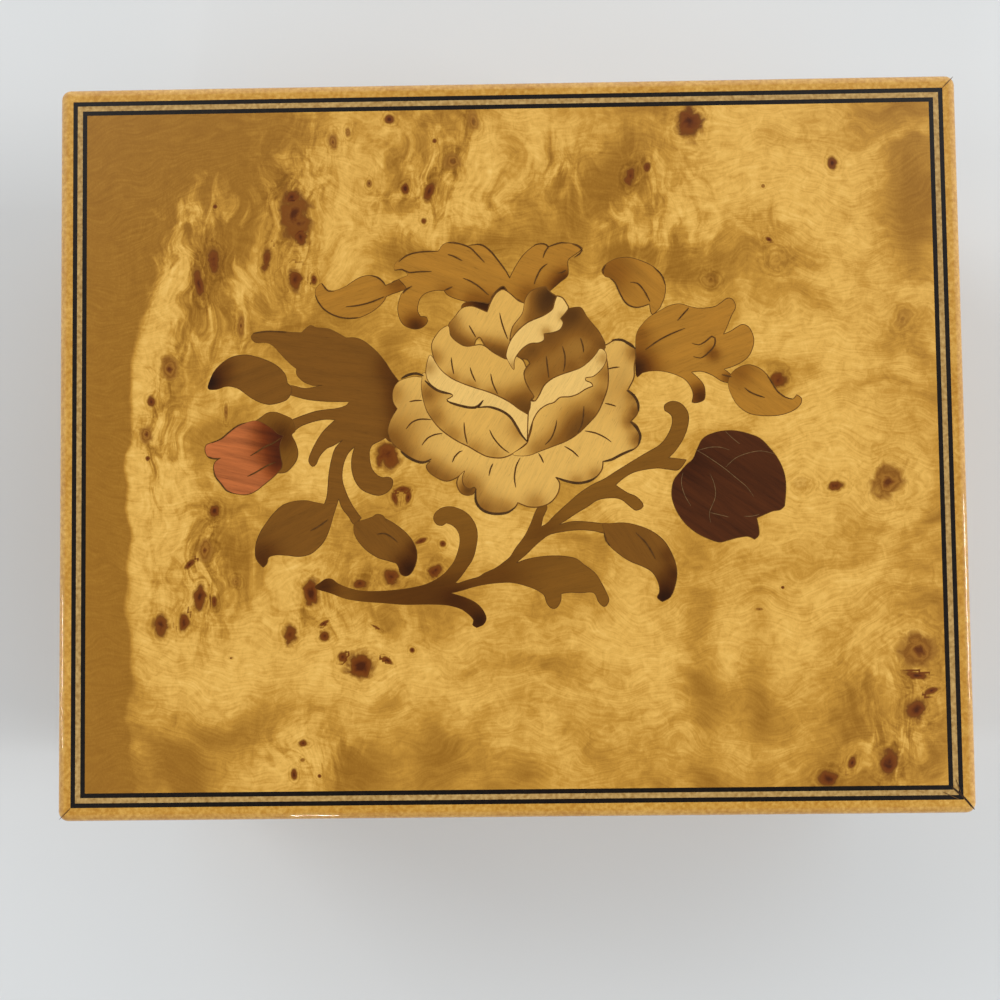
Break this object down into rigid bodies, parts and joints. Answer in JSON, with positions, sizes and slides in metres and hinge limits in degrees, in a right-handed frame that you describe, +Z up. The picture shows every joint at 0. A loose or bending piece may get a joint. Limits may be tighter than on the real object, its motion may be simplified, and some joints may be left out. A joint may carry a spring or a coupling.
{
  "type": "wind-up music box",
  "caption": "Low rectangular inlaid wooden box with a hinged glossy lid, lined trays, a mirror, and a key-wound cylinder musical movement that stops when the lid shuts.",
  "frame": {"origin": "middle of the box's outline, on the surface that its feet stand on", "axes": "+X to the right along the long side, +Y to the back where the hinges are, +Z up; lid shut"},
  "size_m": [0.15, 0.1238, 0.062],
  "materials": {
    "core_wood": "sanded, clear sealed",
    "panel_wood": "sanded plywood",
    "side_burr": "polished lacquer",
    "burr_veneer": "polished lacquer",
    "banding_wood": "polished lacquer",
    "black_line": "polished lacquer",
    "light_line": "polished lacquer",
    "velvet": "short pile velvet",
    "felt": "felt",
    "lining_paper": "velvet-covered card",
    "mirror": "silvered glass",
    "clear_plastic": "clear",
    "brass": "polished",
    "steel": "ground",
    "blued_steel": "tempered",
    "plated_casting": "gold-coloured plating on cast zinc",
    "nylon": "moulded"
  },
  "bodies": {
    "case": {"front_board": "core_wood", "right_board": "core_wood", "back_board": "core_wood", "left_board": "core_wood", "body_side_veneers": "side_burr", "felt_feet": "felt", "bottom_panel": "panel_wood", "bottom_screws": "brass", "bottom_cleats": "core_wood", "long_partition": "core_wood", "short_partition": "core_wood", "tray_boards": "panel_wood", "tray_linings": "lining_paper", "jewel_tray_pad": "velvet", "ring_rolls": "velvet", "movement_cover": "clear_plastic", "cover_ledges": "core_wood", "hinge_body_leaves": "brass", "hinge_pins": "brass", "hinge_body_screws": "brass", "bedplate": "plated_casting", "bedplate_screws": "steel", "spring_housing": "brass", "spring_cover": "brass", "mainspring": "blued_steel", "cylinder_bearings": "steel", "comb": "steel", "governor_frame": "steel", "stop_guide": "brass", "stop_spring": "steel", "movement_screws": "steel"},
    "lid": {"lid_rails": "core_wood", "lid_side_veneers": "side_burr", "edge_banding": "banding_wood", "lid_panel": "panel_wood", "outer_black_line": "black_line", "light_line_inlay": "light_line", "inner_black_line": "black_line", "burr_veneer": "burr_veneer", "lid_lining_frame": "lining_paper", "mirror": "mirror", "stop_block": "core_wood", "hinge_lid_leaves": "brass", "hinge_lid_screws": "brass"},
    "great_wheel": {"great_wheel": "brass"},
    "click": {"click": "steel"},
    "winding_bar": {"winding_arbor": "steel", "ratchet_wheel": "steel", "winding_key": "brass"},
    "cylinder": {"pinned_cylinder": "brass", "cylinder_pins": "steel", "cylinder_shaft": "steel", "cylinder_pinion": "brass", "cylinder_wheel": "brass"},
    "governor_gear": {"governor_pinion": "steel", "worm_wheel": "nylon"},
    "air_brake_worm": {"worm": "steel", "air_brake": "nylon"},
    "stop_pin": {"stop_pin": "steel"}
  },
  "joints": [
    {"name": "lid_hinge", "type": "hinge", "parent": "case", "child": "lid", "pos_m": [0, 0.06155, 0.04415], "axis": [-1, 0, 0], "range_deg": [0, 98]},
    {"name": "stop_slide", "type": "slide", "parent": "case", "child": "stop_pin", "axis": [0, 0, 1], "range_m": [0, 0.003], "deforming": ["stop_spring"]},
    {"name": "great_wheel_turn", "type": "hinge", "parent": "case", "child": "great_wheel", "pos_m": [-0.0515, 0.033, 0.0284], "axis": [0, 0, 1], "continuous": true},
    {"name": "cylinder_turn", "type": "hinge", "parent": "case", "child": "cylinder", "pos_m": [-0.027, 0.033, 0.0227], "axis": [1, 0, 0], "continuous": true},
    {"name": "governor_gear_turn", "type": "hinge", "parent": "case", "child": "governor_gear", "pos_m": [-0.0163, 0.04144, 0.02544], "axis": [1, 0, 0], "continuous": true},
    {"name": "fan_spin", "type": "hinge", "parent": "case", "child": "air_brake_worm", "pos_m": [-0.0176, 0.04704, 0.026], "axis": [0, 0, 1], "continuous": true},
    {"name": "winding_turn", "type": "hinge", "parent": "great_wheel", "child": "winding_bar", "pos_m": [-0.0515, 0.033, 0.0055], "axis": [0, 0, -1], "continuous": true},
    {"name": "click_pivot", "type": "hinge", "parent": "great_wheel", "child": "click", "pos_m": [-0.0586, 0.0371, 0.0296], "axis": [0, 0, 1], "range_deg": [0, 12], "stiffness_Nm_per_rad": 0.0005, "springref_deg": -5.73}
  ],
  "couplings": [
    {"joint": "stop_slide", "follows": "lid_hinge", "m_per_rad": 0.00175},
    {"joint": "cylinder_turn", "follows": "great_wheel_turn", "ratio": -3},
    {"joint": "governor_gear_turn", "follows": "great_wheel_turn", "ratio": 12},
    {"joint": "fan_spin", "follows": "great_wheel_turn", "ratio": -288}
  ]
}
